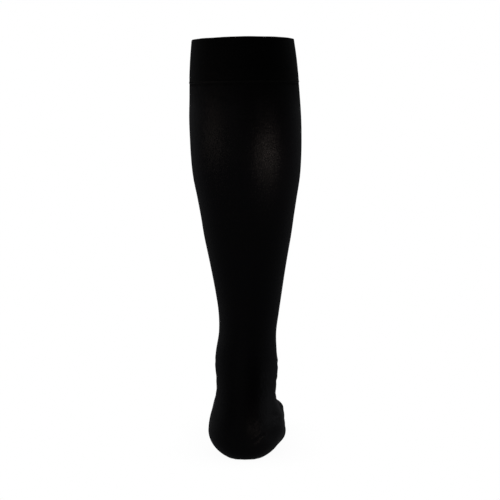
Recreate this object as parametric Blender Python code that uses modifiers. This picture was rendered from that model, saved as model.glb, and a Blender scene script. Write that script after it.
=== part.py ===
"""A knee-high compression stocking, hollow and filled out to the form it takes on a right leg.

It is a tube of dense knit in four pieces: the doubled band below the knee, the leg, the foot with
its turned heel, and the closed toe. Each piece is a thin wall, and the tube is open at the top.

Frame: +Z runs up the leg, +Y from heel to toe, +X towards the little toe. The origin is the middle
of the band's hollow, where the leg below the knee holds the stocking.
"""

import math
from bisect import bisect_right
from collections import namedtuple

import bpy

MM = 0.001

# Driving dimensions in metres. Heights are measured up from the sole.
STOCKING_HEIGHT = 0.4260   # sole to the middle of the top edge
BAND_HEIGHT = 0.0455
HOLD_HEIGHT = STOCKING_HEIGHT - BAND_HEIGHT / 2   # the band's middle, the frame's origin
ANKLE_SEAM_HEIGHT = 0.1060 # level ring where the leg meets the foot
TOE_SEAM_ROW = 3           # rows from the end of the foot table, where the toe is joined on
KNIT_WALL = 0.0012
BAND_WALL = 0.0018         # two layers of knit
SEAM_GAP = 0.0003
BAND_STEP = 0.0003         # the doubled band stands this much proud of the leg
RIDGE_HEIGHT = 0.0050      # linked edge along the bottom of the band
RIDGE_PROUD = 0.0005
TOP_EDGE_DIP = 0.0008      # the top edge lies this much lower at its sides than front and back
BAND_LEAN = 0.014          # rise of the band towards the outer side, per metre across
LEAN_FADE_HEIGHT = 0.326   # below this height the rings are level again
LEG_SEAT = 0.48            # a level ring is widest this share of the way from calf to shin
INSTEP_SHIFT_START = 0.3   # share of the way from sole to instep where the sideways shift begins

# Rings and points of each wall.
POINTS_AROUND = 48
BAND_RINGS = (0.0, 0.055, 0.11, 0.30, 0.55, 0.80, 1.0)   # fractions of the band's height
LEG_RINGS = 22
FOOT_RINGS_PER_ROW = 2
TOE_RINGS = 7
TOE_ROUNDNESS = 2.3        # 2 rounds the toe like an ellipse, more makes it blunter

KNIT_COLOUR = (0.006, 0.006, 0.0065, 1.0)
KNIT_ROUGHNESS = 0.85

# Level rings of the leg, in millimetres. inner and outer are the reaches to either side of the
# frame's middle plane, front the shin line and back the calf line; calf and shin say how full the
# back and front halves are: 0 is a half ellipse, more is squarer, less is more pointed.
Level = namedtuple("Level", "height inner outer front back calf shin")
LEVELS = (
    Level(426.0, 53.0, 50.4, 53.5, -53.5, 0.03, 0.00),
    Level(406.0, 54.5, 53.2, 53.8, -55.5, 0.03, 0.00),
    Level(382.0, 55.4, 55.6, 54.0, -58.0, 0.03, 0.00),
    Level(366.0, 55.5, 56.9, 54.2, -60.0, 0.03, -0.01),
    Level(346.0, 55.8, 58.2, 54.0, -62.0, 0.04, -0.02),
    Level(326.0, 55.1, 58.6, 53.5, -63.5, 0.04, -0.03),
    Level(306.0, 54.0, 58.3, 52.5, -63.5, 0.04, -0.04),
    Level(286.0, 51.9, 57.0, 51.5, -61.5, 0.03, -0.05),
    Level(266.0, 47.9, 54.0, 50.3, -58.2, 0.02, -0.06),
    Level(246.0, 44.2, 51.0, 49.0, -54.6, 0.00, -0.07),
    Level(226.0, 40.9, 48.2, 47.5, -51.0, -0.02, -0.08),
    Level(206.0, 36.8, 44.8, 45.8, -47.2, -0.04, -0.08),
    Level(186.0, 32.8, 41.6, 44.0, -43.7, -0.06, -0.08),
    Level(166.0, 29.1, 38.7, 42.4, -40.6, -0.08, -0.08),
    Level(146.0, 26.3, 35.8, 41.0, -38.5, -0.10, -0.08),
    Level(126.0, 26.0, 33.2, 40.0, -37.5, -0.11, -0.07),
    Level(106.0, 29.1, 33.7, 40.0, -37.5, -0.11, -0.06),
)

# Rings that turn round the heel and run on to the toe, in millimetres. Each crosses the calf, heel
# or sole line at back_y, back_z and the instep line at front_y, front_z. seat is how far from back
# to front the ring is widest, sole and top are the fullness of its two halves, ridge moves the
# instep line sideways, arch lifts the inner edge of the sole, and skew draws the outer side back.
Turn = namedtuple("Turn", "back_y back_z front_y front_z inner outer seat sole top ridge arch skew")
TURNS = (
    Turn(-39.0, 88.5, 41.3, 97.0, 30.0, 35.0, 0.50, -0.10, -0.06, 0.0, 0.0, 0.00),
    Turn(-42.0, 71.0, 43.5, 90.0, 28.9, 34.2, 0.47, -0.08, -0.04, 0.0, 0.0, 0.00),
    Turn(-46.0, 54.0, 46.5, 84.5, 28.6, 32.8, 0.44, -0.05, 0.00, 0.0, 0.0, 0.00),
    Turn(-49.3, 37.0, 50.5, 79.5, 30.2, 33.4, 0.41, -0.03, 0.04, 0.5, 0.0, 0.00),
    Turn(-49.5, 21.5, 55.0, 75.5, 33.0, 35.0, 0.39, -0.02, 0.07, 1.0, 0.0, 0.00),
    Turn(-45.5, 5.5, 60.0, 72.0, 35.4, 37.0, 0.37, -0.01, 0.09, 1.5, 0.0, 0.00),
    Turn(-34.5, -2.0, 66.0, 68.0, 37.2, 39.4, 0.37, -0.04, 0.04, 2.0, 0.0, 0.00),
    Turn(-18.0, -2.0, 73.0, 64.0, 36.2, 40.8, 0.35, 0.00, 0.10, 0.0, 1.0, 0.00),
    Turn(0.0, -1.0, 81.0, 60.0, 35.0, 42.8, 0.32, 0.08, 0.08, -2.0, 4.0, 0.00),
    Turn(20.0, 0.0, 90.0, 56.0, 34.2, 42.8, 0.30, 0.18, 0.04, -6.0, 7.0, 0.00),
    Turn(42.0, 1.0, 100.0, 51.5, 33.4, 42.8, 0.29, 0.26, 0.05, -9.5, 8.0, 0.00),
    Turn(65.0, 1.0, 111.0, 47.0, 33.2, 43.4, 0.30, 0.30, 0.10, -9.0, 6.0, 0.04),
    Turn(88.0, 0.0, 123.0, 42.5, 34.2, 44.2, 0.32, 0.32, 0.20, -7.0, 3.0, 0.08),
    Turn(110.0, -1.5, 135.0, 38.5, 35.2, 44.6, 0.36, 0.34, 0.38, -2.0, 1.0, 0.12),
    Turn(130.0, -1.5, 148.0, 34.5, 35.0, 44.4, 0.42, 0.34, 0.38, -1.0, 0.0, 0.18),
    Turn(148.0, -1.0, 160.0, 31.0, 34.0, 42.5, 0.46, 0.34, 0.36, -1.0, 0.0, 0.24),
    Turn(168.0, 0.5, 174.0, 27.5, 32.0, 38.5, 0.48, 0.34, 0.34, 0.0, 0.0, 0.28),
    Turn(188.0, 2.5, 188.0, 24.0, 29.5, 34.0, 0.50, 0.34, 0.34, 0.0, 0.0, 0.30),
)


def all_sections():
    """Every ring of the tube from the band down to the toe, as rows of the Turn table."""
    leg = [Turn(level.back, level.height, level.front, level.height, level.inner, level.outer,
                LEG_SEAT, level.calf, level.shin, 0.0, 0.0, 0.0) for level in LEVELS]
    return leg + list(TURNS)


def positions_along(sections):
    """Distance of each section down the middle of the tube, in millimetres."""
    along = [0.0]
    for upper, lower in zip(sections, sections[1:]):
        step_y = (lower.back_y + lower.front_y - upper.back_y - upper.front_y) / 2
        step_z = (lower.back_z + lower.front_z - upper.back_z - upper.front_z) / 2
        along.append(along[-1] + math.hypot(step_y, step_z))
    return along


SECTIONS = all_sections()
ALONG = positions_along(SECTIONS)
TOE_START = ALONG[-TOE_SEAM_ROW]
TOE_END = ALONG[-1]


def slope(column, row):
    """Change of one column for each millimetre along the tube, from the rows on either side."""
    before, after = max(row - 1, 0), min(row + 1, len(ALONG) - 1)
    return (SECTIONS[after][column] - SECTIONS[before][column]) / (ALONG[after] - ALONG[before])


def section_at(along):
    """The section at any distance down the tube, on a smooth curve through the rows."""
    row = min(max(bisect_right(ALONG, along) - 1, 0), len(ALONG) - 2)
    span = ALONG[row + 1] - ALONG[row]
    t = (along - ALONG[row]) / span
    values = []
    for column in range(len(Turn._fields)):
        start, end = SECTIONS[row][column], SECTIONS[row + 1][column]
        leave, arrive = slope(column, row) * span, slope(column, row + 1) * span
        values.append(start * (1 + 2 * t) * (1 - t) ** 2 + leave * t * (1 - t) ** 2
                      + end * t * t * (3 - 2 * t) - arrive * t * t * (1 - t))
    return Turn(*values)


def fade(value, low, high):
    """0 below low, 1 above high, and a smooth rise between."""
    t = min(max((value - low) / (high - low), 0.0), 1.0)
    return t * t * (3 - 2 * t)


def ring(along, proud=0.0):
    """Points of the outer face round the tube at one distance down it, in metres.

    They start on the calf or sole line and go round by the outer side. proud moves them outwards.
    """
    section = section_at(along)
    toe = min(max((along - TOE_START) / (TOE_END - TOE_START), 0.0), 1.0)
    shrink = (1 - toe ** TOE_ROUNDNESS) ** (1 / TOE_ROUNDNESS)
    middle = (section.outer - section.inner) / 2
    half_width = (section.outer + section.inner) / 2
    points = []
    for index in range(POINTS_AROUND):
        angle = 2 * math.pi * index / POINTS_AROUND
        towards_back, aside = math.cos(angle), math.sin(angle)
        fullness = section.sole if towards_back > 0 else section.top
        across = half_width * aside * (1 + fullness * towards_back ** 2) * shrink
        reach = section.seat if towards_back > 0 else 1 - section.seat
        forward = 0.5 + (section.seat - towards_back * reach - 0.5) * shrink
        y = section.back_y + (section.front_y - section.back_y) * forward
        z = section.back_z + (section.front_z - section.back_z) * forward
        x = middle + across + section.ridge * fade(forward, INSTEP_SHIFT_START, 1.0)
        inner_sole = max(-aside, 0.0) ** 2 * (1 + towards_back) / 2
        z = max(z + section.arch * inner_sole * shrink, 0.0)
        y -= section.skew * across
        x, y, z = x * MM, y * MM, z * MM
        x += proud * aside
        y -= proud * towards_back
        up_band = (z - STOCKING_HEIGHT) / BAND_HEIGHT + 1
        z += BAND_LEAN * x * fade(z, LEAN_FADE_HEIGHT, STOCKING_HEIGHT - BAND_HEIGHT)
        z -= TOP_EDGE_DIP * aside ** 2 * fade(up_band, 0.0, 1.0)
        points.append((x, y, z - HOLD_HEIGHT))
    return points


def along_of_height(height):
    """Distance down the tube of a level ring of the leg, from its height in metres."""
    return LEVELS[0].height - height / MM


def spaced(start, end, count):
    """Evenly spaced values from start to end, both included."""
    return [start + (end - start) * index / (count - 1) for index in range(count)]


def wall(name, rings, thickness, material, closed_end=False):
    """A thin shell: rings of points joined into its outer face, with the wall laid inside it."""
    vertices = [point for points in rings for point in points]
    faces = []
    for row in range(len(rings) - 1):
        for index in range(POINTS_AROUND):
            following = (index + 1) % POINTS_AROUND
            upper, lower = row * POINTS_AROUND, (row + 1) * POINTS_AROUND
            faces.append((upper + index, lower + index, lower + following, upper + following))
    if closed_end:
        last = (len(rings) - 1) * POINTS_AROUND
        faces.append(tuple(last + index for index in reversed(range(POINTS_AROUND))))
    mesh = bpy.data.meshes.new(name)
    mesh.from_pydata(vertices, [], faces)
    mesh.shade_smooth()
    mesh.materials.append(material)
    piece = bpy.data.objects.new(name, mesh)
    shell = piece.modifiers.new("wall", "SOLIDIFY")
    shell.thickness = thickness
    shell.offset = -1.0
    shell.use_even_offset = True
    return piece


def knit(name):
    """Near-black matt knit."""
    material = bpy.data.materials.new(name)
    material.use_nodes = True
    shader = material.node_tree.nodes["Principled BSDF"]
    shader.inputs["Base Color"].default_value = KNIT_COLOUR
    shader.inputs["Roughness"].default_value = KNIT_ROUGHNESS
    shader.inputs["Metallic"].default_value = 0.0
    return material


def knee_band():
    """Doubled welt, a little proud of the leg, with a ridge along its linked lower edge."""
    rings = []
    for share in reversed(BAND_RINGS):
        above_edge = share * BAND_HEIGHT
        ridge = RIDGE_PROUD * (1 - fade(above_edge, RIDGE_HEIGHT / 2, RIDGE_HEIGHT))
        height = STOCKING_HEIGHT - BAND_HEIGHT + above_edge
        rings.append(ring(along_of_height(height), BAND_STEP + ridge))
    return wall("knee_band", rings, BAND_WALL, knit("band_knit"))


def leg_tube():
    """Round-knit tube from the band down to the ankle."""
    top = along_of_height(STOCKING_HEIGHT - BAND_HEIGHT - SEAM_GAP)
    bottom = along_of_height(ANKLE_SEAM_HEIGHT + SEAM_GAP / 2)
    rings = [ring(along) for along in spaced(top, bottom, LEG_RINGS)]
    return wall("leg_tube", rings, KNIT_WALL, knit("leg_knit"))


def foot_tube():
    """The tube round the turned heel and along the foot to the toe seam."""
    top = along_of_height(ANKLE_SEAM_HEIGHT - SEAM_GAP / 2)
    stops = [top] + ALONG[len(LEVELS):-TOE_SEAM_ROW] + [TOE_START - SEAM_GAP / MM]
    places = [top]
    for start, end in zip(stops, stops[1:]):
        places += spaced(start, end, FOOT_RINGS_PER_ROW + 1)[1:]
    rings = [ring(along) for along in places]
    return wall("foot_tube", rings, KNIT_WALL, knit("foot_knit"))


def toe_cap():
    """Closed, rounded end of the foot."""
    turns = spaced(0.0, math.pi / 2, TOE_RINGS + 1)[:-1]
    rings = [ring(TOE_START + (TOE_END - TOE_START) * math.sin(turn)) for turn in turns]
    return wall("toe_cap", rings, KNIT_WALL, knit("toe_knit"), closed_end=True)


def main():
    for item in list(bpy.data.objects):
        bpy.data.objects.remove(item, do_unlink=True)
    stocking = bpy.data.collections.new("compression_stocking")
    bpy.context.scene.collection.children.link(stocking)
    for piece in (knee_band(), leg_tube(), foot_tube(), toe_cap()):
        stocking.objects.link(piece)


main()
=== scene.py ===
"""Scene for the compression stocking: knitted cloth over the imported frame, camera, floor, light.

The cloth is one unbroken knitted tube from the knee band to the closed toe, a doubled band above
it, and the stitches that link and close them. Lengths are in metres unless a comment says
millimetres. The frame's origin is the middle of the band's hollow: +Z up the leg, +Y from heel to
toe, +X towards the little toe.
"""
import math
from bisect import bisect_right
from collections import namedtuple

import bpy
import numpy as np
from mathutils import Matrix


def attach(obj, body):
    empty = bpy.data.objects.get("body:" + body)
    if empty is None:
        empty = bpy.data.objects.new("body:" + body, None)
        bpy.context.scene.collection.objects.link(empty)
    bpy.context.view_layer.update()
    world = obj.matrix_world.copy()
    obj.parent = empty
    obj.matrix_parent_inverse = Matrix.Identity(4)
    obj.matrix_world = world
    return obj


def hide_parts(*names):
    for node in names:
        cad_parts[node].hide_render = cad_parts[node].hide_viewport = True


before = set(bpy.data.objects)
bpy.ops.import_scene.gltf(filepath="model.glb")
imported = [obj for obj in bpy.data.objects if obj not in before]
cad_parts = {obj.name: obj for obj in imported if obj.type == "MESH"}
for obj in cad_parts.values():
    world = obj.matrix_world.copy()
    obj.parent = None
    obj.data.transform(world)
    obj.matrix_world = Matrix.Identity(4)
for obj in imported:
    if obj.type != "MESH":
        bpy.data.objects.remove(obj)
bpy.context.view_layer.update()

MM = 0.001

# The stocking's sizes, as its solids have them. Heights are measured up from the sole.
STOCKING_HEIGHT = 0.4260 # sole to the middle of the top edge
BAND_HEIGHT = 0.0455
HOLD_HEIGHT = STOCKING_HEIGHT - BAND_HEIGHT / 2  # the band's middle, the frame's origin
BAND_STEP = 0.0003       # the doubled band stands this much proud of the leg
TOP_EDGE_DIP = 0.0008    # the top edge lies this much lower at its sides than front and back
BAND_LEAN = 0.014        # rise of the band towards the outer side, per metre across
LEAN_FADE_HEIGHT = 0.326 # below this height the rings are level again
LEG_SEAT = 0.48          # a level ring is widest this share of the way from calf to shin
INSTEP_SHIFT_START = 0.3 # share of the way from sole to instep where the sideways shift begins
TOE_SEAM_ROW = 3         # rows from the end of the table of turns, where the toe starts
TOE_ROUNDNESS = 2.3      # 2 rounds the toe like an ellipse, more makes it blunter

# The cloth: how thick it is, how its loops lie, and how many points a ring of its mesh has.
KNIT_WALL = 0.0009
WELT_WALL = 0.0017       # two layers of knit
WALES_ROUND = 400
COURSES_PER_METRE = 1350
POINTS_AROUND = 192

# ---------------------------------------------------------------- the form of the tube

# Level rings of the leg, in millimetres. inner and outer are the reaches to either side of the
# frame's middle plane, front the shin line and back the calf line. calf and shin say how full the
# back and front halves are: 0 is a half ellipse, more is squarer, less is more pointed.
Level = namedtuple("Level", "height inner outer front back calf shin")
LEVELS = (
    Level(426.0, 53.0, 50.4, 53.5, -53.5, 0.03, 0.00),
    Level(406.0, 54.5, 53.2, 53.8, -55.5, 0.03, 0.00),
    Level(382.0, 55.4, 55.6, 54.0, -58.0, 0.03, 0.00),
    Level(366.0, 55.5, 56.9, 54.2, -60.0, 0.03, -0.01),
    Level(346.0, 55.8, 58.2, 54.0, -62.0, 0.04, -0.02),
    Level(326.0, 55.1, 58.6, 53.5, -63.5, 0.04, -0.03),
    Level(306.0, 54.0, 58.3, 52.5, -63.5, 0.04, -0.04),
    Level(286.0, 51.9, 57.0, 51.5, -61.5, 0.03, -0.05),
    Level(266.0, 47.9, 54.0, 50.3, -58.2, 0.02, -0.06),
    Level(246.0, 44.2, 51.0, 49.0, -54.6, 0.00, -0.07),
    Level(226.0, 40.9, 48.2, 47.5, -51.0, -0.02, -0.08),
    Level(206.0, 36.8, 44.8, 45.8, -47.2, -0.04, -0.08),
    Level(186.0, 32.8, 41.6, 44.0, -43.7, -0.06, -0.08),
    Level(166.0, 29.1, 38.7, 42.4, -40.6, -0.08, -0.08),
    Level(146.0, 26.3, 35.8, 41.0, -38.5, -0.10, -0.08),
    Level(126.0, 26.0, 33.2, 40.0, -37.5, -0.11, -0.07),
    Level(106.0, 29.1, 33.7, 40.0, -37.5, -0.11, -0.06),
)

# Rings that turn round the heel and run on to the toe, in millimetres. Each crosses the calf, heel
# or sole line at back_y, back_z and the instep line at front_y, front_z. seat is how far from back
# to front the ring is widest, sole and top are the fullness of its two halves, ridge moves the
# instep line sideways, arch lifts the inner edge of the sole, and skew draws the outer side back.
Turn = namedtuple("Turn", "back_y back_z front_y front_z inner outer seat sole top ridge arch skew")
TURNS = (
    Turn(-39.0, 88.5, 41.3, 97.0, 30.0, 35.0, 0.50, -0.10, -0.06, 0.0, 0.0, 0.00),
    Turn(-42.0, 71.0, 43.5, 90.0, 28.9, 34.2, 0.47, -0.08, -0.04, 0.0, 0.0, 0.00),
    Turn(-46.0, 54.0, 46.5, 84.5, 28.6, 32.8, 0.44, -0.05, 0.00, 0.0, 0.0, 0.00),
    Turn(-49.3, 37.0, 50.5, 79.5, 30.2, 33.4, 0.41, -0.03, 0.04, 0.5, 0.0, 0.00),
    Turn(-49.5, 21.5, 55.0, 75.5, 33.0, 35.0, 0.39, -0.02, 0.07, 1.0, 0.0, 0.00),
    Turn(-45.5, 5.5, 60.0, 72.0, 35.4, 37.0, 0.37, -0.01, 0.09, 1.5, 0.0, 0.00),
    Turn(-34.5, -2.0, 66.0, 68.0, 37.2, 39.4, 0.37, -0.04, 0.04, 2.0, 0.0, 0.00),
    Turn(-18.0, -2.0, 73.0, 64.0, 36.2, 40.8, 0.35, 0.00, 0.10, 0.0, 1.0, 0.00),
    Turn(0.0, -1.0, 81.0, 60.0, 35.0, 42.8, 0.32, 0.08, 0.08, -2.0, 4.0, 0.00),
    Turn(20.0, 0.0, 90.0, 56.0, 34.2, 42.8, 0.30, 0.18, 0.04, -6.0, 7.0, 0.00),
    Turn(42.0, 1.0, 100.0, 51.5, 33.4, 42.8, 0.29, 0.26, 0.05, -9.5, 8.0, 0.00),
    Turn(65.0, 1.0, 111.0, 47.0, 33.2, 43.4, 0.30, 0.30, 0.10, -9.0, 6.0, 0.04),
    Turn(88.0, 0.0, 123.0, 42.5, 34.2, 44.2, 0.32, 0.32, 0.20, -7.0, 3.0, 0.08),
    Turn(110.0, -1.5, 135.0, 38.5, 35.2, 44.6, 0.36, 0.34, 0.38, -2.0, 1.0, 0.12),
    Turn(130.0, -1.5, 148.0, 34.5, 35.0, 44.4, 0.42, 0.34, 0.38, -1.0, 0.0, 0.18),
    Turn(148.0, -1.0, 160.0, 31.0, 34.0, 42.5, 0.46, 0.34, 0.36, -1.0, 0.0, 0.24),
    Turn(168.0, 0.5, 174.0, 27.5, 32.0, 38.5, 0.48, 0.34, 0.34, 0.0, 0.0, 0.28),
    Turn(188.0, 2.5, 188.0, 24.0, 29.5, 34.0, 0.50, 0.34, 0.34, 0.0, 0.0, 0.30),
)


def all_sections():
    """Every ring of the tube from the band down to the toe, as rows of the Turn table."""
    leg = [Turn(level.back, level.height, level.front, level.height, level.inner, level.outer,
                LEG_SEAT, level.calf, level.shin, 0.0, 0.0, 0.0) for level in LEVELS]
    return leg + list(TURNS)


def positions_along(sections):
    """Distance of each section down the middle of the tube, in millimetres."""
    along = [0.0]
    for upper, lower in zip(sections, sections[1:]):
        step_y = (lower.back_y + lower.front_y - upper.back_y - upper.front_y) / 2
        step_z = (lower.back_z + lower.front_z - upper.back_z - upper.front_z) / 2
        along.append(along[-1] + math.hypot(step_y, step_z))
    return along


SECTIONS = all_sections()
ALONG = positions_along(SECTIONS)
TOE_START = ALONG[-TOE_SEAM_ROW]
TOE_END = ALONG[-1]


def slope(column, row):
    """Change of one column for each millimetre along the tube, from the rows on either side."""
    before, after = max(row - 1, 0), min(row + 1, len(ALONG) - 1)
    return (SECTIONS[after][column] - SECTIONS[before][column]) / (ALONG[after] - ALONG[before])


def section_at(along):
    """The section at any distance down the tube, on a smooth curve through the rows."""
    row = min(max(bisect_right(ALONG, along) - 1, 0), len(ALONG) - 2)
    span = ALONG[row + 1] - ALONG[row]
    t = (along - ALONG[row]) / span
    values = []
    for column in range(len(Turn._fields)):
        start, end = SECTIONS[row][column], SECTIONS[row + 1][column]
        leave, arrive = slope(column, row) * span, slope(column, row + 1) * span
        values.append(start * (1 + 2 * t) * (1 - t) ** 2 + leave * t * (1 - t) ** 2
                      + end * t * t * (3 - 2 * t) - arrive * t * t * (1 - t))
    return Turn(*values)


def fade(value, low, high):
    """0 below low, 1 above high, and a smooth rise between."""
    t = np.clip((value - low) / (high - low), 0.0, 1.0)
    return t * t * (3 - 2 * t)


def along_of_height(height):
    """Distance down the tube of a level ring of the leg, from its height in metres."""
    return LEVELS[0].height - height / MM


def tube_ring(along, turn, proud=0.0):
    """Points of the outer face at one distance down the tube, one for each turn in radians.

    Turn 0 is the calf, heel or sole line, and turns go round by the outer side. proud moves the
    points outwards.
    """
    section = section_at(along)
    toe = min(max((along - TOE_START) / (TOE_END - TOE_START), 0.0), 1.0)
    shrink = (1 - toe ** TOE_ROUNDNESS) ** (1 / TOE_ROUNDNESS)
    towards_back, aside = np.cos(turn), np.sin(turn)
    half_width = (section.outer + section.inner) / 2
    fullness = np.where(towards_back > 0, section.sole, section.top)
    across = half_width * aside * (1 + fullness * towards_back ** 2) * shrink
    reach = np.where(towards_back > 0, section.seat, 1 - section.seat)
    forward = 0.5 + (section.seat - towards_back * reach - 0.5) * shrink
    x = (section.outer - section.inner) / 2 + across
    x = x + section.ridge * fade(forward, INSTEP_SHIFT_START, 1.0)
    y = section.back_y + (section.front_y - section.back_y) * forward - section.skew * across
    z = section.back_z + (section.front_z - section.back_z) * forward
    inner_sole = np.maximum(-aside, 0.0) ** 2 * (1 + towards_back) / 2
    z = np.maximum(z + section.arch * inner_sole * shrink, 0.0)
    x, y, z = x * MM + proud * aside, y * MM - proud * towards_back, z * MM
    up_band = (z - STOCKING_HEIGHT) / BAND_HEIGHT + 1
    z = z + BAND_LEAN * x * fade(z, LEAN_FADE_HEIGHT, STOCKING_HEIGHT - BAND_HEIGHT)
    z = z - TOP_EDGE_DIP * aside ** 2 * fade(up_band, 0.0, 1.0)
    return np.stack([x, y, z - HOLD_HEIGHT], axis=-1)


# ---------------------------------------------------------------- folds in the worn cloth

# Fuller places on the outer side of the foot, in millimetres: how far each stands out, its middle,
# and how far it reaches forward, back, up and down from there. A negative height is a hollow.
Swell = namedtuple("Swell", "height forward up reach_forward reach_back reach_up reach_down")
OUTER_SWELLS = (
    Swell(4.0, -8.0, 33.0, 46.0, 34.0, 23.0, 22.0),
    Swell(0.9, 28.0, 15.0, 34.0, 26.0, 12.0, 12.0),
    Swell(-1.3, 112.0, 12.0, 16.0, 24.0, 7.0, 12.0),
    Swell(1.2, 133.0, 27.0, 22.0, 22.0, 9.0, 7.0),
)
SWELL_FLAT = 0.22        # share of its reach over which it stays full
SWELL_OUT = (10.0, 30.0) # how far out from the middle plane the swells begin, and are full


def swelled(points):
    """How far the outer side of the foot stands out at each point, in metres."""
    out, forward, up = (points / MM).T
    total = np.zeros(len(points))
    for swell in OUTER_SWELLS:
        ahead, above = forward - swell.forward, up + HOLD_HEIGHT / MM - swell.up
        ahead = ahead / np.where(ahead > 0, swell.reach_forward, swell.reach_back)
        above = above / np.where(above > 0, swell.reach_up, swell.reach_down)
        total += swell.height * MM * (1 - fade(np.hypot(ahead, above), SWELL_FLAT, 1.0))
    return total * fade(out, *SWELL_OUT)


# A fold runs from one place on the tube to another, as a soft trough with cloth heaped beside it.
# along counts millimetres down the tube's middle line from the top edge, turn is in degrees, and
# bow bends the middle of the fold along the tube. Width, depth and bow are in millimetres.
Fold = namedtuple("Fold", "along turn to_along to_turn bow width depth")
FRONT_OF_ANKLE = (
    Fold(303, 158, 306, 214, 1.5, 5.0, 0.35),
    Fold(312, 150, 315, 222, 2.5, 5.5, 0.60),
    Fold(320, 136, 321, 206, 3.5, 5.0, 0.85),
    Fold(326, 168, 324, 236, 3.0, 5.5, 0.70),
    Fold(331, 128, 333, 198, 3.0, 5.5, 1.05),
    Fold(337, 176, 334, 242, 2.5, 5.0, 0.85),
    Fold(342, 134, 345, 190, 2.5, 5.0, 0.80),
    Fold(349, 162, 346, 230, 2.0, 6.0, 0.75),
    Fold(357, 140, 360, 196, 1.5, 6.0, 0.50),
    Fold(366, 172, 364, 222, 1.0, 6.5, 0.35),
)
OUTER_ANKLE = (
    Fold(327, 62, 336, 112, 2.0, 4.5, 0.40),
    Fold(340, 58, 351, 104, 2.5, 4.5, 0.50),
    Fold(352, 70, 366, 108, 1.5, 5.0, 0.45),
    Fold(368, 46, 377, 88, 2.0, 4.5, 0.35),
)
INNER_ANKLE = (
    Fold(325, 296, 333, 246, 2.0, 5.0, 0.16),
    Fold(338, 300, 347, 250, 2.5, 5.5, 0.20),
    Fold(351, 286, 362, 246, 1.5, 5.5, 0.16),
)
BACK_OF_ANKLE = (
    Fold(312, 22, 314, 66, 1.0, 4.0, 0.16),
    Fold(319, 14, 321, 58, 1.2, 4.0, 0.20),
    Fold(326, 30, 328, 70, 1.0, 4.0, 0.18),
    Fold(316, 338, 318, 296, 1.0, 4.0, 0.16),
    Fold(324, 346, 326, 300, 1.2, 4.0, 0.18),
)
HEEL = (
    Fold(381, 8, 376, 40, 0.0, 3.4, 0.95),
    Fold(371, 10, 366, 30, 0.8, 3.2, 0.22),
    Fold(384, 344, 378, 322, 1.0, 3.5, 0.25),
)
FOOT = (
    Fold(405, 96, 423, 128, 1.5, 6.0, 0.35),
    Fold(418, 252, 436, 226, 1.5, 6.0, 0.35),
    Fold(452, 118, 466, 150, 1.0, 6.0, 0.25),
    Fold(500, 168, 503, 214, 1.5, 5.5, 0.30),
    Fold(508, 148, 510, 196, 1.5, 5.5, 0.35),
)
LEG = (
    Fold(64, 168, 118, 176, 2.0, 14.0, 0.25),
    Fold(150, 96, 205, 104, 3.0, 16.0, 0.22),
    Fold(170, 262, 230, 256, 3.0, 16.0, 0.22),
)
FOLDS = FRONT_OF_ANKLE + OUTER_ANKLE + INNER_ANKLE + BACK_OF_ANKLE + HEEL + FOOT + LEG

FOLD_POINTS = 60
FOLD_ENDS = 0.38         # share of a fold over which it dies away at each end
SHOULDER_HEIGHT = 0.38   # height of the cloth heaped beside a fold, against its depth
SHOULDER_PLACE = 1.75    # where that heap lies, in half widths from the fold
SHOULDER_WIDTH = 0.9     # how wide it is, in half widths
SHOULDER_TILT = 0.3      # how much more of it lies on one side than on both alike
REACH = 4.0              # half widths beyond which a fold no longer moves the cloth

# The depth of a fold wavers along it: by how much, how often, and how far apart two folds start.
Waver = namedtuple("Waver", "amount often apart")
WAVERS = (Waver(0.22, 9.0, 2.1), Waver(0.12, 23.0, 1.0))


def outward(points):
    """Unit normals of a grid of rings, pointing away from the middle of each ring."""
    round_step = np.roll(points, -1, axis=1) - np.roll(points, 1, axis=1)
    down_step = np.gradient(points, axis=0)
    normals = np.cross(round_step, down_step)
    normals /= np.maximum(np.linalg.norm(normals, axis=-1, keepdims=True), 1e-12)
    away = points - points.mean(axis=1, keepdims=True)
    return normals * np.where((normals * away).sum(axis=-1, keepdims=True) < 0, -1.0, 1.0)


def fold_line(fold):
    """Points along a fold on the tube's surface, and the directions along it."""
    share = np.linspace(0.0, 1.0, FOLD_POINTS)
    along = fold.along + (fold.to_along - fold.along) * share + fold.bow * np.sin(math.pi * share)
    turn = np.radians(fold.turn + (fold.to_turn - fold.turn) * share)
    line = np.array([tube_ring(a, np.array([t]))[0] for a, t in zip(along, turn)])
    heading = np.gradient(line, axis=0)
    return line, heading / np.linalg.norm(heading, axis=1, keepdims=True)


def fold_relief(fold, number, points, normals):
    """How far one fold moves each point outwards, in metres."""
    half = fold.width * MM / 2
    line, heading = fold_line(fold)
    low, high = line.min(axis=0) - REACH * half, line.max(axis=0) + REACH * half
    near = np.nonzero(((points > low) & (points < high)).all(axis=1))[0]
    relief = np.zeros(len(points))
    if not len(near):
        return relief
    apart = np.linalg.norm(points[near, None, :] - line[None], axis=2)
    nearest = apart.argmin(axis=1)
    step = points[near] - line[nearest]
    across = np.cross(normals[near], heading[nearest])
    side = (step * across).sum(axis=1) / half
    length = np.linalg.norm(np.diff(line, axis=0), axis=1).sum()
    share = nearest / (FOLD_POINTS - 1) + (step * heading[nearest]).sum(axis=1) / length
    ends = fade(share, 0.0, FOLD_ENDS) * (1 - fade(share, 1 - FOLD_ENDS, 1.0))
    uneven = 1 + sum(waver.amount * np.sin(waver.often * share + waver.apart * number)
                     for waver in WAVERS)
    valley = np.exp(-side ** 2)
    heap = np.exp(-((np.abs(side) - SHOULDER_PLACE) / SHOULDER_WIDTH) ** 2)
    heap = heap * (1 + SHOULDER_TILT * np.sign(side))
    relief[near] = fold.depth * MM * ends * uneven * (SHOULDER_HEIGHT * heap - valley)
    return relief


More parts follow.
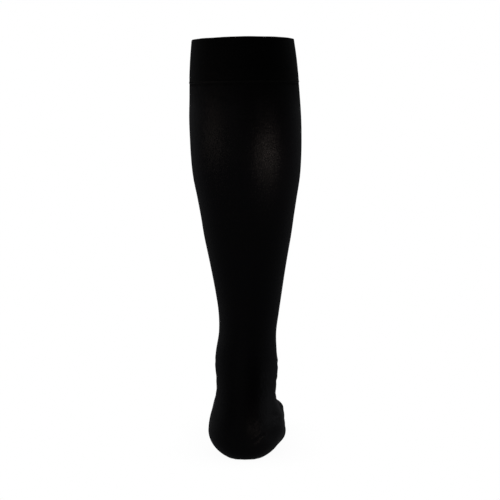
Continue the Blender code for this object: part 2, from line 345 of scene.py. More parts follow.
def folded(points):
    """The grid of rings with every fold pressed into it."""
    normals = outward(points)
    flat, flat_normals = points.reshape(-1, 3), normals.reshape(-1, 3)
    relief = swelled(flat)
    for number, fold in enumerate(FOLDS):
        relief = relief + fold_relief(fold, number, flat, flat_normals)
    return points + normals * relief.reshape(points.shape[:2])[..., None]


# ---------------------------------------------------------------- meshes

CLOTH_MAP = "Knit"       # the UV map that every knitted piece carries


def grid_mesh(name, rings, downs, closed_down=False, pole=None):
    """A mesh through a grid of rings, with a UV map of share round by metres down."""
    rows, count = rings.shape[:2]
    vertices = [tuple(point) for point in rings.reshape(-1, 3)]
    faces, marks = [], []
    for row in range(rows if closed_down else rows - 1):
        below = (row + 1) % rows
        for index in range(count):
            after = (index + 1) % count
            faces.append((row * count + index, below * count + index,
                          below * count + after, row * count + after))
            left, right = index / count, (index + 1) / count
            upper, lower = downs[row], downs[row + 1]
            marks += [(left, upper), (left, lower), (right, lower), (right, upper)]
    if pole is not None:
        vertices.append(tuple(pole))
        last = (rows - 1) * count
        for index in range(count):
            faces.append((last + index, len(vertices) - 1, last + (index + 1) % count))
            marks += [(index / count, downs[-2]), ((index + 0.5) / count, downs[-1]),
                      ((index + 1) / count, downs[-2])]
    mesh = bpy.data.meshes.new(name)
    mesh.from_pydata(vertices, [], faces)
    layer = mesh.uv_layers.new(name=CLOTH_MAP)
    layer.data.foreach_set("uv", [value for mark in marks for value in mark])
    mesh.shade_smooth()
    return mesh


def piece_of(mesh, material=None):
    """An object for a finished mesh, linked to the scene."""
    if material is not None:
        mesh.materials.append(material)
    piece = bpy.data.objects.new(mesh.name, mesh)
    bpy.context.scene.collection.objects.link(piece)
    return piece


def winding(rings):
    """Positive where faces made down then round face outwards."""
    down = rings[1, 0] - rings[0, 0]
    after = rings[0, 1] - rings[0, 0]
    return float(np.dot(np.cross(down, after), rings[0, 0] - rings[0].mean(axis=0)))


def turns_round():
    """Turns of the points of a ring, starting at the front, where the cloth's map ends."""
    return math.pi + np.linspace(0.0, 2 * math.pi, POINTS_AROUND, endpoint=False)


def stops(start, spans):
    """Ring places from a start on through spans, each as evenly spaced as its length allows."""
    places = [start]
    for span in spans:
        begin = places[-1]
        count = max(round((span.end - begin) / span.spacing), 1)
        places += [begin + (span.end - begin) * (step + 1) / count for step in range(count)]
    return places


# How far apart the tube's rings are down to each place on it, in millimetres: close at the folds.
Span = namedtuple("Span", "end spacing")
UNDER_BAND = 0.0006      # how far the tube goes up inside the band
TUBE_TOP = along_of_height(STOCKING_HEIGHT - BAND_HEIGHT + UNDER_BAND)
RING_SPANS = (
    Span(TUBE_TOP + 0.4, 0.4),
    Span(250.0, 5.0),
    Span(300.0, 2.6),
    Span(390.0, 1.15),
    Span(440.0, 2.2),
    Span(TOE_START, 3.0),
)
TOE_RINGS = 17


def knitted_tube(material):
    """Leg, foot and toe in one unbroken shell, open at the top and closed at the toe."""
    places = stops(TUBE_TOP, RING_SPANS)
    toe_turns = np.linspace(0.0, math.pi / 2, TOE_RINGS + 2)[1:-1]
    places += [TOE_START + (TOE_END - TOE_START) * math.sin(turn) for turn in toe_turns]
    rings = folded(np.array([tube_ring(along, turns_round()) for along in places]))
    if winding(rings) < 0:
        rings = rings[:, ::-1]
    tip = tube_ring(TOE_END, np.array([0.0]))[0]
    downs = [along * MM for along in places] + [TOE_END * MM]
    tube = piece_of(grid_mesh("knitted_tube", rings, downs, pole=tip), material)
    wall = tube.modifiers.new("wall", "SOLIDIFY")
    wall.thickness, wall.offset, wall.use_even_offset = KNIT_WALL, -1.0, True
    return tube


# The roll along the band's lower edge in section: height above the edge, and how far it stands
# proud of the leg, in millimetres.
LINKING_SECTION = ((0.0, -0.50), (0.0, -0.02), (0.06, 0.03), (0.3, 0.06), (0.7, 0.13), (1.2, 0.23),
                   (1.7, 0.27), (2.3, 0.23), (3.1, 0.17), (4.2, 0.16), (5.4, 0.21), (6.7, 0.28))

# Rows of the band's other parts, and their places in millimetres above the lower edge or below the
# round of the top edge.
OUTER_ROWS, EDGE_ROWS, INNER_ROWS = 30, 11, 14
OUTER_FROM, OUTER_BELOW_EDGE = 8.0, 0.3
INNER_DOWN_TO, INNER_BELOW_EDGE = 0.6, 1.0

# Unevenness of the top edge: height in millimetres, waves to the round, and where they start.
Wave = namedtuple("Wave", "height waves start")
TOP_EDGE_WAVES = (Wave(0.10, 3, 0.6), Wave(0.07, 7, 2.0), Wave(0.05, 13, 0.0))
WAVES_FROM = 0.6         # share of the band's height from which the waves are felt


def band_profile():
    """Points round the band's section, from its lower edge up, over and down inside."""
    outer, fold = BAND_STEP / MM, WELT_WALL / MM / 2
    edge = BAND_HEIGHT / MM - fold
    profile = list(LINKING_SECTION)
    profile += [(up, outer) for up in np.linspace(OUTER_FROM, edge - OUTER_BELOW_EDGE, OUTER_ROWS)]
    profile += [(edge + fold * math.sin(turn), outer - fold + fold * math.cos(turn))
                for turn in np.linspace(0.0, math.pi, EDGE_ROWS)]
    profile += [(up, outer - 2 * fold)
                for up in np.linspace(edge - INNER_BELOW_EDGE, INNER_DOWN_TO, INNER_ROWS)]
    return profile


def knee_welt(material):
    """The doubled band: a closed ring of cloth with a soft folded top edge.

    Its map counts metres from the lower edge, up the outer layer.
    """
    turns, height = turns_round(), BAND_HEIGHT / MM
    foot = STOCKING_HEIGHT - BAND_HEIGHT
    uneven = sum(wave.height * np.sin(wave.waves * turns + wave.start) for wave in TOP_EDGE_WAVES)
    rings = []
    for up, proud in band_profile():
        ring = tube_ring(along_of_height(foot + up * MM), turns, proud * MM)
        ring[:, 2] += uneven * MM * fade(up, WAVES_FROM * height, height)
        rings.append(ring)
    rings = np.array(rings)[::-1]
    if winding(rings[len(rings) // 2:]) < 0:
        rings = rings[:, ::-1]
    steps = np.linalg.norm(np.diff(rings[:, 0], axis=0, append=rings[:1, 0]), axis=1)
    run = np.concatenate([[0.0], np.cumsum(steps)])
    return piece_of(grid_mesh("knee_welt", rings, list(run[-2] - run), closed_down=True), material)


# ---------------------------------------------------------------- stitches

# Loops of a seam: how far apart, their length, width and height, how far each leans in radians, and
# how far their line stands proud of the cloth.
Stitch = namedtuple("Stitch", "spacing length width height slant proud")
LINKING_STITCH = Stitch(0.0016, 0.0019, 0.0006, 0.00032, 0.75, 0.00028)
CLOSING_STITCH = Stitch(0.0014, 0.0015, 0.0005, 0.0004, 0.9, 0.00005)
LINKING_RISE = 0.0015            # height of the linking stitches above the band's lower edge
TOE_SEAM_TURNS = (76.0, 284.0)   # degrees: the toe's seam runs over the top from side to side
LINKING_POINTS, CLOSING_POINTS = 240, 140
LOOP_SIDES, LOOP_RINGS = 8, 5


def stitch_tree(name, material):
    """Geometry nodes that lay one slanted loop of yarn at each marked point of a seam."""
    tree = bpy.data.node_groups.new(name, "GeometryNodeTree")
    face = tree.interface
    face.new_socket("Geometry", in_out="INPUT", socket_type="NodeSocketGeometry")
    for label in ("Length", "Width", "Height", "Slant"):
        face.new_socket(label, in_out="INPUT", socket_type="NodeSocketFloat")
    face.new_socket("Geometry", in_out="OUTPUT", socket_type="NodeSocketGeometry")
    make, link = tree.nodes.new, tree.links.new
    given, result = make("NodeGroupInput"), make("NodeGroupOutput")
    points = make("GeometryNodeMeshToPoints")
    link(given.outputs["Geometry"], points.inputs["Mesh"])
    loop = make("GeometryNodeMeshUVSphere")
    loop.inputs["Segments"].default_value = LOOP_SIDES
    loop.inputs["Rings"].default_value = LOOP_RINGS
    loop.inputs["Radius"].default_value = 0.5
    size = make("ShaderNodeCombineXYZ")
    for axis, label in zip("XYZ", ("Length", "Width", "Height")):
        link(given.outputs[label], size.inputs[axis])
    shaped = make("GeometryNodeTransform")
    link(loop.outputs["Mesh"], shaped.inputs["Geometry"])
    link(size.outputs["Vector"], shaped.inputs["Scale"])
    lean = make("ShaderNodeCombineXYZ")
    link(given.outputs["Slant"], lean.inputs["Z"])
    slanted = make("GeometryNodeTransform")
    link(shaped.outputs["Geometry"], slanted.inputs["Geometry"])
    link(lean.outputs["Vector"], slanted.inputs["Rotation"])
    up, course = make("GeometryNodeInputNamedAttribute"), make("GeometryNodeInputNamedAttribute")
    for node, attribute in ((up, "out"), (course, "course")):
        node.data_type = "FLOAT_VECTOR"
        node.inputs["Name"].default_value = attribute
    stand = make("FunctionNodeAlignRotationToVector")
    stand.axis = "Z"
    link(up.outputs["Attribute"], stand.inputs["Vector"])
    follow = make("FunctionNodeAlignRotationToVector")
    follow.axis, follow.pivot_axis = "X", "Z"
    link(stand.outputs["Rotation"], follow.inputs["Rotation"])
    link(course.outputs["Attribute"], follow.inputs["Vector"])
    laid = make("GeometryNodeInstanceOnPoints")
    link(points.outputs["Points"], laid.inputs["Points"])
    link(slanted.outputs["Geometry"], laid.inputs["Instance"])
    link(follow.outputs["Rotation"], laid.inputs["Rotation"])
    real, coloured = make("GeometryNodeRealizeInstances"), make("GeometryNodeSetMaterial")
    coloured.inputs["Material"].default_value = material
    link(laid.outputs["Instances"], real.inputs["Geometry"])
    link(real.outputs["Geometry"], coloured.inputs["Geometry"])
    link(coloured.outputs["Geometry"], result.inputs["Geometry"])
    return tree


def marked_points(name, places, outs, courses):
    """Loose points that carry the cloth's outward direction and the seam's direction."""
    mesh = bpy.data.meshes.new(name)
    mesh.from_pydata([tuple(place) for place in places], [], [])
    for label, values in (("out", outs), ("course", courses)):
        layer = mesh.attributes.new(label, "FLOAT_VECTOR", "POINT")
        layer.data.foreach_set("vector", np.asarray(values, dtype=np.float32).ravel())
    return mesh


def evenly(line, closed, spacing):
    """Places at even spacing along a line of points, with the direction at each."""
    if closed:
        line = np.vstack([line, line[:1]])
    steps = np.linalg.norm(np.diff(line, axis=0), axis=1)
    run = np.concatenate([[0.0], np.cumsum(steps)])
    count = max(int(round(run[-1] / spacing)), 2)
    marks = np.linspace(0.0, run[-1], count, endpoint=not closed)
    places = np.stack([np.interp(marks, run, line[:, axis]) for axis in range(3)], axis=1)
    ahead = np.stack([np.interp(np.minimum(marks + spacing / 4, run[-1]), run, line[:, axis])
                      - np.interp(np.maximum(marks - spacing / 4, 0.0), run, line[:, axis])
                      for axis in range(3)], axis=1)
    return places, ahead / np.linalg.norm(ahead, axis=1, keepdims=True)


def outward_open(rings):
    """Outward directions along the middle of three open lines of points."""
    heading = np.gradient(rings[1], axis=0)
    normals = np.cross(heading, rings[2] - rings[0])
    normals /= np.linalg.norm(normals, axis=1, keepdims=True)
    return normals


def seam_stitches(name, along, turns, closed, stitch, material):
    """Stitches along part or all of one ring of the tube."""
    rings = np.array([tube_ring(along + step, turns, stitch.proud) for step in (-1, 0, 1)])
    line = rings[1]
    away = outward(rings)[1] if closed else outward_open(rings)
    places, courses = evenly(line, closed, stitch.spacing)
    nearest = np.linalg.norm(places[:, None] - line[None], axis=2).argmin(axis=1)
    piece = piece_of(marked_points(name, places, away[nearest], courses))
    tree = stitch_tree(name + "_nodes", material)
    laying = piece.modifiers.new("stitches", "NODES")
    laying.node_group = tree
    for item in tree.interface.items_tree:
        if item.in_out == "INPUT" and item.name != "Geometry":
            laying[item.identifier] = getattr(stitch, item.name.lower())
    return made_plain(piece)


def made_plain(piece):
    """Turn a piece built by nodes into a plain mesh under the same name."""
    bpy.context.view_layer.update()
    graph = bpy.context.evaluated_depsgraph_get()
    mesh = bpy.data.meshes.new_from_object(piece.evaluated_get(graph))
    piece.modifiers.clear()
    piece.data = mesh
    mesh.name = piece.name
    mesh.shade_smooth()
    return piece


# ---------------------------------------------------------------- materials

class Wiring:
    """Short calls for building a shader tree."""

    def __init__(self, tree):
        self.tree = tree

    def add(self, kind, **settings):
        """A new node with its settings."""
        node = self.tree.nodes.new(kind)
        for name, value in settings.items():
            setattr(node, name, value)
        return node

    def feed(self, socket, value):
        """Link an output to a socket, or set the socket's own value."""
        if isinstance(value, bpy.types.NodeSocket):
            self.tree.links.new(value, socket)
        else:
            socket.default_value = value

    def math(self, operation, *values):
        node = self.add("ShaderNodeMath", operation=operation)
        for socket, value in zip(node.inputs, values):
            self.feed(socket, value)
        return node.outputs[0]

    def both_ways(self, share):
        """A share from 0 to 1, spread from -1 to 1."""
        return self.math("SUBTRACT", self.math("MULTIPLY", share, 2.0), 1.0)

    def mix(self, share, first, second):
        node = self.add("ShaderNodeMix", data_type="RGBA")
        self.feed(node.inputs["Factor"], share)
        self.feed(next(s for s in node.inputs if s.identifier == "A_Color"), first)
        self.feed(next(s for s in node.inputs if s.identifier == "B_Color"), second)
        return next(s for s in node.outputs if s.identifier == "Result_Color")

    def noise(self, vector, scale, detail, roughness):
        node = self.add("ShaderNodeTexNoise")
        self.feed(node.inputs["Vector"], vector)
        self.feed(node.inputs["Scale"], scale)
        self.feed(node.inputs["Detail"], detail)
        self.feed(node.inputs["Roughness"], roughness)
        return node.outputs["Fac"]

    def place(self):
        """The place of each point on its piece, in metres."""
        return self.add("ShaderNodeTexCoord").outputs["Object"]

    def split(self, vector):
        """The X and Y parts of a vector."""
        node = self.add("ShaderNodeSeparateXYZ")
        self.feed(node.inputs[0], vector)
        return node.outputs["X"], node.outputs["Y"]

    def graded(self, value, low, high, first, last, kind="SMOOTHSTEP"):
        """first where the value is at most low, last from high on, and a smooth change between."""
        node = self.add("ShaderNodeMapRange", interpolation_type=kind)
        for label, given in (("Value", value), ("From Min", low), ("From Max", high),
                             ("To Min", first), ("To Max", last)):
            self.feed(node.inputs[label], given)
        return node.outputs["Result"]

    def figure(self, x, y, figure):
        """A noise figure laid along the courses and wales of the cloth."""
        node = self.add("ShaderNodeCombineXYZ")
        self.feed(node.inputs["X"], self.math("MULTIPLY", x, figure.across))
        self.feed(node.inputs["Y"], self.math("MULTIPLY", y, figure.down))
        return self.noise(node.outputs["Vector"], 1.0, figure.detail, figure.roughness)

    def total(self, *weighed):
        """The sum of values, each given with its weight."""
        products = [self.math("MULTIPLY", value, weight) for value, weight in weighed]
        total = products[0]
        for product in products[1:]:
            total = self.math("ADD", total, product)
        return total


def shader_group(name, inputs, outputs):
    """An empty shader group with named sockets, its wiring, and its two end nodes."""
    tree = bpy.data.node_groups.new(name, "ShaderNodeTree")
    for label, kind in inputs:
        tree.interface.new_socket(label, in_out="INPUT", socket_type=kind)
    for label, kind in outputs:
        tree.interface.new_socket(label, in_out="OUTPUT", socket_type=kind)
    wiring = Wiring(tree)
    return wiring, wiring.add("NodeGroupInput").outputs, wiring.add("NodeGroupOutput").inputs


# Noise figures in the cloth, in patches to the round and patches to the metre down it.
Figure = namedtuple("Figure", "across down detail roughness")
DRIFT = Figure(60.0, 90.0, 2.0, 0.5)       # wales and courses that wander
STREAKS = Figure(170.0, 5.0, 3.0, 0.6)     # long streaks down the wales
BANDS = Figure(3.0, 420.0, 2.0, 0.5)       # courses of a slightly different tone
DASHES = Figure(45.0, 400.0, 2.0, 0.6)     # short dashes along the courses
SPECKS = Figure(170.0, 560.0, 2.0, 0.6)    # the yarn's own unevenness
CLOUD_SCALE, CLOUD_DETAIL, CLOUD_ROUGHNESS = 22.0, 3.0, 0.55

LEG_CLIMB = 0.9          # how many courses each leg of a loop climbs
LOOP_DIP = 0.65          # how far a loop dips towards the next one, against its height
GAP_SHADE_SHARPNESS = 0.6      # power of a loop's height in its painted gap shade: less narrows the shaded gaps

# How much each kind of unevenness adds to the tone.
STREAK_TONE, BAND_TONE, CLOUD_TONE, GRAIN_TONE = 1.1, 0.5, 0.4, 1.2
MIDDLE_TONE = (STREAK_TONE + BAND_TONE + CLOUD_TONE + GRAIN_TONE) / 2


def plain_knit_group():
    """Columns of V-shaped loops: their height, and a mask of painted shade in the gaps between
    them.
    """
    wiring, given, result = shader_group(
        "plain knit",
        [("Cloth", "NodeSocketVector"), ("Wales round", "NodeSocketFloat"),
         ("Courses per metre", "NodeSocketFloat"), ("Unevenness", "NodeSocketFloat")],
        [("Height", "NodeSocketFloat"), ("Yarn", "NodeSocketFloat"), ("Streak", "NodeSocketFloat")])
    math_of = wiring.math
    x, y = wiring.split(given["Cloth"])
    drift = math_of("SUBTRACT", wiring.figure(x, y, DRIFT), 0.5)
    drift = math_of("MULTIPLY", drift, given["Unevenness"])
    wale = math_of("ADD", math_of("MULTIPLY", x, given["Wales round"]), drift)
    course = math_of("ADD", math_of("MULTIPLY", y, given["Courses per metre"]), drift)
    aside = math_of("ABSOLUTE", wiring.both_ways(math_of("FRACT", wale)))
    from_leg = wiring.both_ways(aside)
    leg_round = math_of("SUBTRACT", 1.0, math_of("MULTIPLY", from_leg, from_leg))
    climb = math_of("SUBTRACT", course, math_of("MULTIPLY", aside, LEG_CLIMB))
    along = wiring.both_ways(math_of("FRACT", climb))
    dip = math_of("MULTIPLY", math_of("MULTIPLY", along, along), LOOP_DIP)
    height = math_of("MULTIPLY", leg_round, math_of("SUBTRACT", 1.0, dip))
    wiring.feed(result["Height"], height)
    # Yarn is the mask of painted shade: 0 in the gaps between loops, 1 on their crests.
    wiring.feed(result["Yarn"], math_of("POWER", height, GAP_SHADE_SHARPNESS))
    wiring.feed(result["Streak"], wiring.figure(x, y, STREAKS))
    return wiring.tree


def worn_tone_group():
    """Slow changes of tone over the cloth, faint course bands, and the uneven grain of the yarn."""
    wiring, given, result = shader_group(
        "worn tone",
        [("Place", "NodeSocketVector"), ("Cloth", "NodeSocketVector"),
         ("Streak", "NodeSocketFloat"), ("Amount", "NodeSocketFloat")],
        [("Tone", "NodeSocketFloat"), ("Grain", "NodeSocketFloat")])
    x, y = wiring.split(given["Cloth"])
    clouds = wiring.noise(given["Place"], CLOUD_SCALE, CLOUD_DETAIL, CLOUD_ROUGHNESS)
    grain = wiring.total((wiring.figure(x, y, SPECKS), 0.5), (wiring.figure(x, y, DASHES), 0.5))
    wiring.feed(result["Grain"], grain)
    total = wiring.total((given["Streak"], STREAK_TONE), (wiring.figure(x, y, BANDS), BAND_TONE),
                         (clouds, CLOUD_TONE), (grain, GRAIN_TONE))
    total = wiring.math("MULTIPLY", wiring.math("SUBTRACT", total, MIDDLE_TONE), given["Amount"])
    wiring.feed(result["Tone"], wiring.math("ADD", 1.0, wiring.math("MULTIPLY", total, 2.0)))
    return wiring.tree


# A yarn's colour in the gaps between its loops, darkened there as painted shade, and on their
# crests; for sewing yarn the two are the dark and light ends of its grain. How rough, glossy and
# downy it is, how deep its relief is, and how uneven its tone. A knit's wales to the round, its
# courses to the metre, and how far both wander.
Yarn = namedtuple("Yarn", "name gap crest roughness gloss sheen depth tone")
Knit = namedtuple("Knit", "wales courses uneven")
LEG_YARN = Yarn("leg_knit", (0.0030, 0.0023, 0.0038), (0.0113, 0.0086, 0.0127),
                0.37, 0.40, 0.012, 0.00005, 0.45)
LEG_KNIT = Knit(WALES_ROUND, COURSES_PER_METRE, 0.30)
BAND_YARN = Yarn("band_knit", (0.0020, 0.0019, 0.0021), (0.0075, 0.0070, 0.0070),
                 0.48, 0.24, 0.008, 0.00006, 0.40)
BAND_KNIT = Knit(WALES_ROUND, COURSES_PER_METRE * 0.9, 0.25)
# Lighter than the cloth: partly the yarn's own colour, partly a painted highlight on the linking
# row.
STITCH_YARN = Yarn("stitch_yarn", (0.0125, 0.0119, 0.0121), (0.0320, 0.0302, 0.0300),
                   0.50, 0.35, 0.015, 0.00010, 0.25)

YARN_IOR = 1.45
DOWN_ROUGHNESS = 0.35    # roughness of the knit's sheen
KNIT_RELIEF, STITCH_RELIEF = 0.6, 0.5
GRAIN_DEPTH = 9.5        # height of the yarn's uneven grain, against the depth of a loop
GRAIN_ROUGHNESS = 0.30   # how far the knit's grain and streaks change its roughness
STREAK_ROUGHNESS = 0.20
STITCH_ROUGHNESS = 0.10  # how far the grain of the sewing yarn changes its roughness
NO_STREAK = 0.5          # the middle of the streaks, for yarn that has none

# Rows of a piece whose colour and roughness differ from the rest: how far down the tube, or up
# the band, they hold, where they have faded out, the scale of their colour against the rest, and
# how much rougher they are.
Courses = namedtuple("Courses", "full_to gone_by tone rougher")
# Painted highlight: the band's colour is lighter along the roll of its lower edge, which is also
# less rough.
PAINTED_HIGHLIGHT_ON_ROLL = (Courses(0.0024, 0.0032, 2.1, -0.12),)
PAINTED_SHADE_AND_DARKER_BELOW_BAND = (
    # Painted shade just under the band's lower edge.
    Courses(BAND_HEIGHT + 0.0016, BAND_HEIGHT + 0.0036, 0.60, 0.15),
    # Then darker and rougher down to 6 mm under the band, fading out by 30 mm.
    Courses(BAND_HEIGHT + 0.006, BAND_HEIGHT + 0.030, 0.55, 0.14),
)


def new_yarn(yarn, tone_group):
    """A material for one yarn, with its wiring and its node of uneven tone."""
    material = bpy.data.materials.new(yarn.name)
    material.use_nodes = True
    wiring = Wiring(material.node_tree)
    worn = wiring.add("ShaderNodeGroup", node_tree=tone_group)
    wiring.feed(worn.inputs["Place"], wiring.place())
    wiring.feed(worn.inputs["Amount"], yarn.tone)
    return material, wiring, worn


def finish_yarn(wiring, yarn, gap_shade_and_grain_mask, tone, roughness, relief, strength):
    """Feed a yarn's shader with its colour, roughness, relief, gloss and sheen."""
    toned = wiring.add("ShaderNodeVectorMath", operation="SCALE")
    # The mask mixes the gap and crest colours: painted shade between loops for knit, random grain
    # for stitches.
    wiring.feed(toned.inputs[0], wiring.mix(gap_shade_and_grain_mask, (*yarn.gap, 1.0), (*yarn.crest, 1.0)))
    wiring.feed(toned.inputs["Scale"], tone)
    bump = wiring.add("ShaderNodeBump")
    wiring.feed(bump.inputs["Strength"], strength)
    wiring.feed(bump.inputs["Distance"], yarn.depth)
    wiring.feed(bump.inputs["Height"], relief)
    shader = wiring.tree.nodes["Principled BSDF"]
    for label, value in (("Base Color", toned.outputs[0]), ("Roughness", roughness),
                         ("Normal", bump.outputs["Normal"]), ("Metallic", 0.0),
                         ("Specular IOR Level", yarn.gloss), ("Sheen Weight", yarn.sheen)):
        wiring.feed(shader.inputs[label], value)
    return shader


def knit_material(yarn, knit, knit_group, tone_group, courses):
    """Dense black knit: loops in relief, painted shade between them, and a soft sheen on their
    crests.
    """
    material, wiring, worn = new_yarn(yarn, tone_group)
    cloth = wiring.add("ShaderNodeUVMap", uv_map=CLOTH_MAP).outputs["UV"]
    loops = wiring.add("ShaderNodeGroup", node_tree=knit_group)
    for label, value in (("Cloth", cloth), ("Wales round", float(knit.wales)),
                         ("Courses per metre", float(knit.courses)), ("Unevenness", knit.uneven)):
        wiring.feed(loops.inputs[label], value)
    wiring.feed(worn.inputs["Cloth"], cloth)
    wiring.feed(worn.inputs["Streak"], loops.outputs["Streak"])
    grain, tone = worn.outputs["Grain"], worn.outputs["Tone"]
    rough = wiring.total((grain, GRAIN_ROUGHNESS), (loops.outputs["Streak"], STREAK_ROUGHNESS))
    rough = wiring.math("ADD", rough, yarn.roughness - (GRAIN_ROUGHNESS + STREAK_ROUGHNESS) / 2)
    down = wiring.split(cloth)[1]
    # Each row scales the colour, as painted highlight, painted shade or plain darkening, and adds
    # roughness.
    for row in courses:
        row_painted_light_and_tone = wiring.graded(down, row.full_to, row.gone_by, row.tone, 1.0)
        row_rough = wiring.graded(down, row.full_to, row.gone_by, row.rougher, 0.0)
        tone = wiring.math("MULTIPLY", tone, row_painted_light_and_tone)
        rough = wiring.math("ADD", rough, row_rough)
    relief = wiring.total((loops.outputs["Height"], 1.0), (grain, GRAIN_DEPTH))
    # The Yarn output is the knit's mask of painted shade in the gaps between loops.
    shader = finish_yarn(wiring, yarn, loops.outputs["Yarn"], tone, rough, relief, KNIT_RELIEF)
    wiring.feed(shader.inputs["IOR"], YARN_IOR)
    wiring.feed(shader.inputs["Sheen Roughness"], DOWN_ROUGHNESS)
    return material


def stitch_material(yarn, tone_group):
    """Twisted sewing yarn, dark grey: partly a painted highlight on the linking row."""
    material, wiring, worn = new_yarn(yarn, tone_group)
    wiring.feed(worn.inputs["Cloth"], wiring.place())
    wiring.feed(worn.inputs["Streak"], NO_STREAK)
    grain = worn.outputs["Grain"]
    rough = wiring.math("ADD", yarn.roughness - STITCH_ROUGHNESS / 2,
                        wiring.math("MULTIPLY", grain, STITCH_ROUGHNESS))
    finish_yarn(wiring, yarn, grain, worn.outputs["Tone"], rough, grain, STITCH_RELIEF)
    return material


# ---------------------------------------------------------------- camera, floor and light

CAMERA_PLACE = (0.0061, -1.660, 0.349 - HOLD_HEIGHT)
CAMERA_PITCH = 4.77      # degrees below level
FOCAL_LENGTH, SENSOR_WIDTH = 116.7, 36.0    # millimetres


def make_camera():
    """A long lens behind the calf, a little below the knee and looking slightly down."""
    data = bpy.data.cameras.new("camera")
    data.sensor_width, data.lens = SENSOR_WIDTH, FOCAL_LENGTH
    camera = bpy.data.objects.new("camera", data)
    camera.location = CAMERA_PLACE
    camera.rotation_euler = (math.radians(90.0 - CAMERA_PITCH), 0.0, 0.0)
    bpy.context.scene.collection.objects.link(camera)
    bpy.context.scene.camera = camera


# Softboxes round the stocking: bearing from the camera's side and spread of the beam in degrees,
# height of the box and of the place that it points at above the sole, its size, and watts.
Softbox = namedtuple("Softbox", "name bearing distance height aim width tall spread power colour")
WARM, NEUTRAL, COOL = (1.0, 0.86, 0.78), (1.0, 0.97, 0.95), (0.92, 0.95, 1.0)
SOFTBOXES = (
    Softbox("key_right", 38.0, 0.8, 0.25, 0.314, 0.020, 0.05, 9.0, 0.00086, WARM),
    Softbox("key_halo", 39.0, 0.8, 0.27, 0.320, 0.08, 0.10, 13.0, 0.00038, WARM),
    Softbox("calf_left", -66.0, 0.5, 0.34, 0.332, 0.18, 0.12, 26.0, 0.0016, WARM),
    Softbox("heel_right", 98.0, 0.6, 0.05, 0.018, 0.20, 0.10, 18.0, 0.00095, COOL),
    Softbox("heel_back", 34.0, 0.7, 0.032, 0.016, 0.06, 0.05, 8.0, 0.00038, WARM),
    Softbox("front_left", -28.0, 2.4, 0.60, 0.600, 1.80, 1.60, 180.0, 0.75, NEUTRAL),
    Softbox("side_left", -80.0, 2.4, 0.60, 0.600, 1.00, 1.60, 180.0, 0.09, NEUTRAL),
    Softbox("back_left", -120.0, 2.4, 0.60, 0.600, 1.00, 1.60, 180.0, 0.19, COOL),
    Softbox("above_instep", 180.0, 1.3, 1.50, 0.100, 0.70, 0.70, 90.0, 0.55, NEUTRAL),
    Softbox("above_opening", 180.0, 0.30, 2.20, 0.420, 0.50, 0.50, 40.0, 0.20, NEUTRAL),
)


def make_softbox(box):
    """A rectangular softbox on a stand, with a grid where its beam is narrow."""
    data = bpy.data.lights.new(box.name, "AREA")
    data.shape, data.size, data.size_y = "RECTANGLE", box.width, box.tall
    data.energy, data.color, data.spread = box.power, box.colour, math.radians(box.spread)
    light = bpy.data.objects.new(box.name, data)
    bearing = math.radians(box.bearing)
    light.location = (box.distance * math.sin(bearing), -box.distance * math.cos(bearing),
                      box.height - HOLD_HEIGHT)
    tip = math.atan2(box.aim - box.height, box.distance)
    light.rotation_euler = (math.radians(90.0) + tip, 0.0, bearing)
    light.visible_camera = False
    bpy.context.scene.collection.objects.link(light)


BACKDROP_GLOW = 0.065    # light from the white sweep behind the stocking
FRONT_GLOW = 0.006       # light from the dark side of the studio, where the camera stands
SWEEP_EDGES = (-0.35, 0.65)        # how far towards the back the one turns into the other
FLOOR_GLOW = 0.050       # light that the white floor throws up
WHITE = (1.0, 1.0, 1.0, 1.0)
SWEEP_TINT, FLOOR_TINT = (0.93, 0.96, 1.0, 1.0), (0.94, 0.96, 1.0, 1.0)


def seen_apart(wiring, kind, seen, thrown, output):
    """One brightness and tint for what the camera sees, and another for what falls on the cloth."""
    choose = wiring.add("ShaderNodeMixShader")
    wiring.feed(choose.inputs[0], wiring.add("ShaderNodeLightPath").outputs["Is Camera Ray"])
    for socket, (tint, strength) in ((choose.inputs[1], thrown), (choose.inputs[2], seen)):
        glow = wiring.add(kind)
        wiring.feed(glow.inputs["Color"], tint)
        wiring.feed(glow.inputs["Strength"], strength)
        wiring.feed(socket, glow.outputs[0])
    wiring.feed(wiring.add(output).inputs["Surface"], choose.outputs[0])


def make_world():
    """A white sweep to look at. What it throws on the cloth comes mostly from behind."""
    world = bpy.data.worlds.new("studio")
    world.use_nodes = True
    world.node_tree.nodes.clear()
    wiring = Wiring(world.node_tree)
    towards_back = wiring.split(wiring.add("ShaderNodeTexCoord").outputs["Generated"])[1]
    glow = wiring.graded(towards_back, *SWEEP_EDGES, FRONT_GLOW, BACKDROP_GLOW)
    seen_apart(wiring, "ShaderNodeBackground", (WHITE, 1.0), (SWEEP_TINT, glow),
               "ShaderNodeOutputWorld")
    bpy.context.scene.world = world


FLOOR_HALF = 30.0        # metres
FLOOR_DROP = 0.0002      # how far the floor lies under the sole
PAINTED_SHADOW_REACH = 0.05     # metres over which a painted shadow darkens the floor's glow towards the foot
PAINTED_SHADOW_BRIGHTNESS = 0.95     # how bright the painted shadow leaves the floor there
PAINTED_SHADOW_SAMPLES = 8


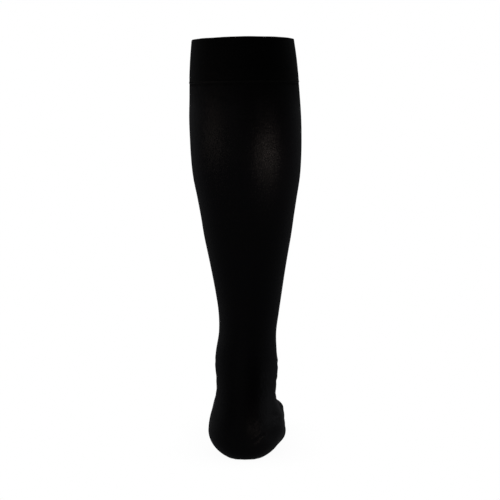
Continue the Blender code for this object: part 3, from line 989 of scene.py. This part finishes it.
def make_floor():
    """A wide, plain white floor, with a soft painted shadow where the foot stands on it."""
    mesh = bpy.data.meshes.new("floor")
    half, low = FLOOR_HALF, -HOLD_HEIGHT - FLOOR_DROP
    corners = [(-half, -half, low), (half, -half, low), (half, half, low), (-half, half, low)]
    mesh.from_pydata(corners, [], [(0, 1, 2, 3)])
    material = bpy.data.materials.new("floor_white")
    material.use_nodes = True
    material.node_tree.nodes.clear()
    wiring = Wiring(material.node_tree)
    # Ambient occlusion darkens the floor's own glow near the foot: a painted contact shadow.
    painted_shadow_occlusion = wiring.add("ShaderNodeAmbientOcclusion", samples=PAINTED_SHADOW_SAMPLES)
    wiring.feed(painted_shadow_occlusion.inputs["Distance"], PAINTED_SHADOW_REACH)
    painted_shadow = wiring.graded(painted_shadow_occlusion.outputs["AO"], 0.0, 1.0, PAINTED_SHADOW_BRIGHTNESS, 1.0, "LINEAR")
    seen_apart(wiring, "ShaderNodeEmission", (WHITE, painted_shadow), (FLOOR_TINT, FLOOR_GLOW),
               "ShaderNodeOutputMaterial")
    piece_of(mesh, material)


# ---------------------------------------------------------------- the whole scene

def main():
    make_camera()
    bpy.context.scene.view_settings.view_transform = "Standard"
    make_world()
    make_floor()
    for box in SOFTBOXES:
        make_softbox(box)

    knit_group, tone_group = plain_knit_group(), worn_tone_group()
    leg_knit = knit_material(LEG_YARN, LEG_KNIT, knit_group, tone_group, PAINTED_SHADE_AND_DARKER_BELOW_BAND)
    band_knit = knit_material(BAND_YARN, BAND_KNIT, knit_group, tone_group, PAINTED_HIGHLIGHT_ON_ROLL)
    stitch_yarn = stitch_material(STITCH_YARN, tone_group)

    tube = knitted_tube(leg_knit)
    welt = knee_welt(band_knit)
    all_round = np.linspace(0.0, 2 * math.pi, LINKING_POINTS, endpoint=False)
    link_place = along_of_height(STOCKING_HEIGHT - BAND_HEIGHT + LINKING_RISE)
    linking = seam_stitches("band_linking", link_place, all_round, True, LINKING_STITCH,
                            stitch_yarn)
    over_toes = np.radians(np.linspace(*TOE_SEAM_TURNS, CLOSING_POINTS))
    closing = seam_stitches("toe_closing", TOE_START, over_toes, False, CLOSING_STITCH,
                            stitch_yarn)

    for piece in (tube, welt, linking, closing):
        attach(piece, "root")
    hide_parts("leg_tube", "foot_tube", "toe_cap")
    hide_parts("knee_band")


main()
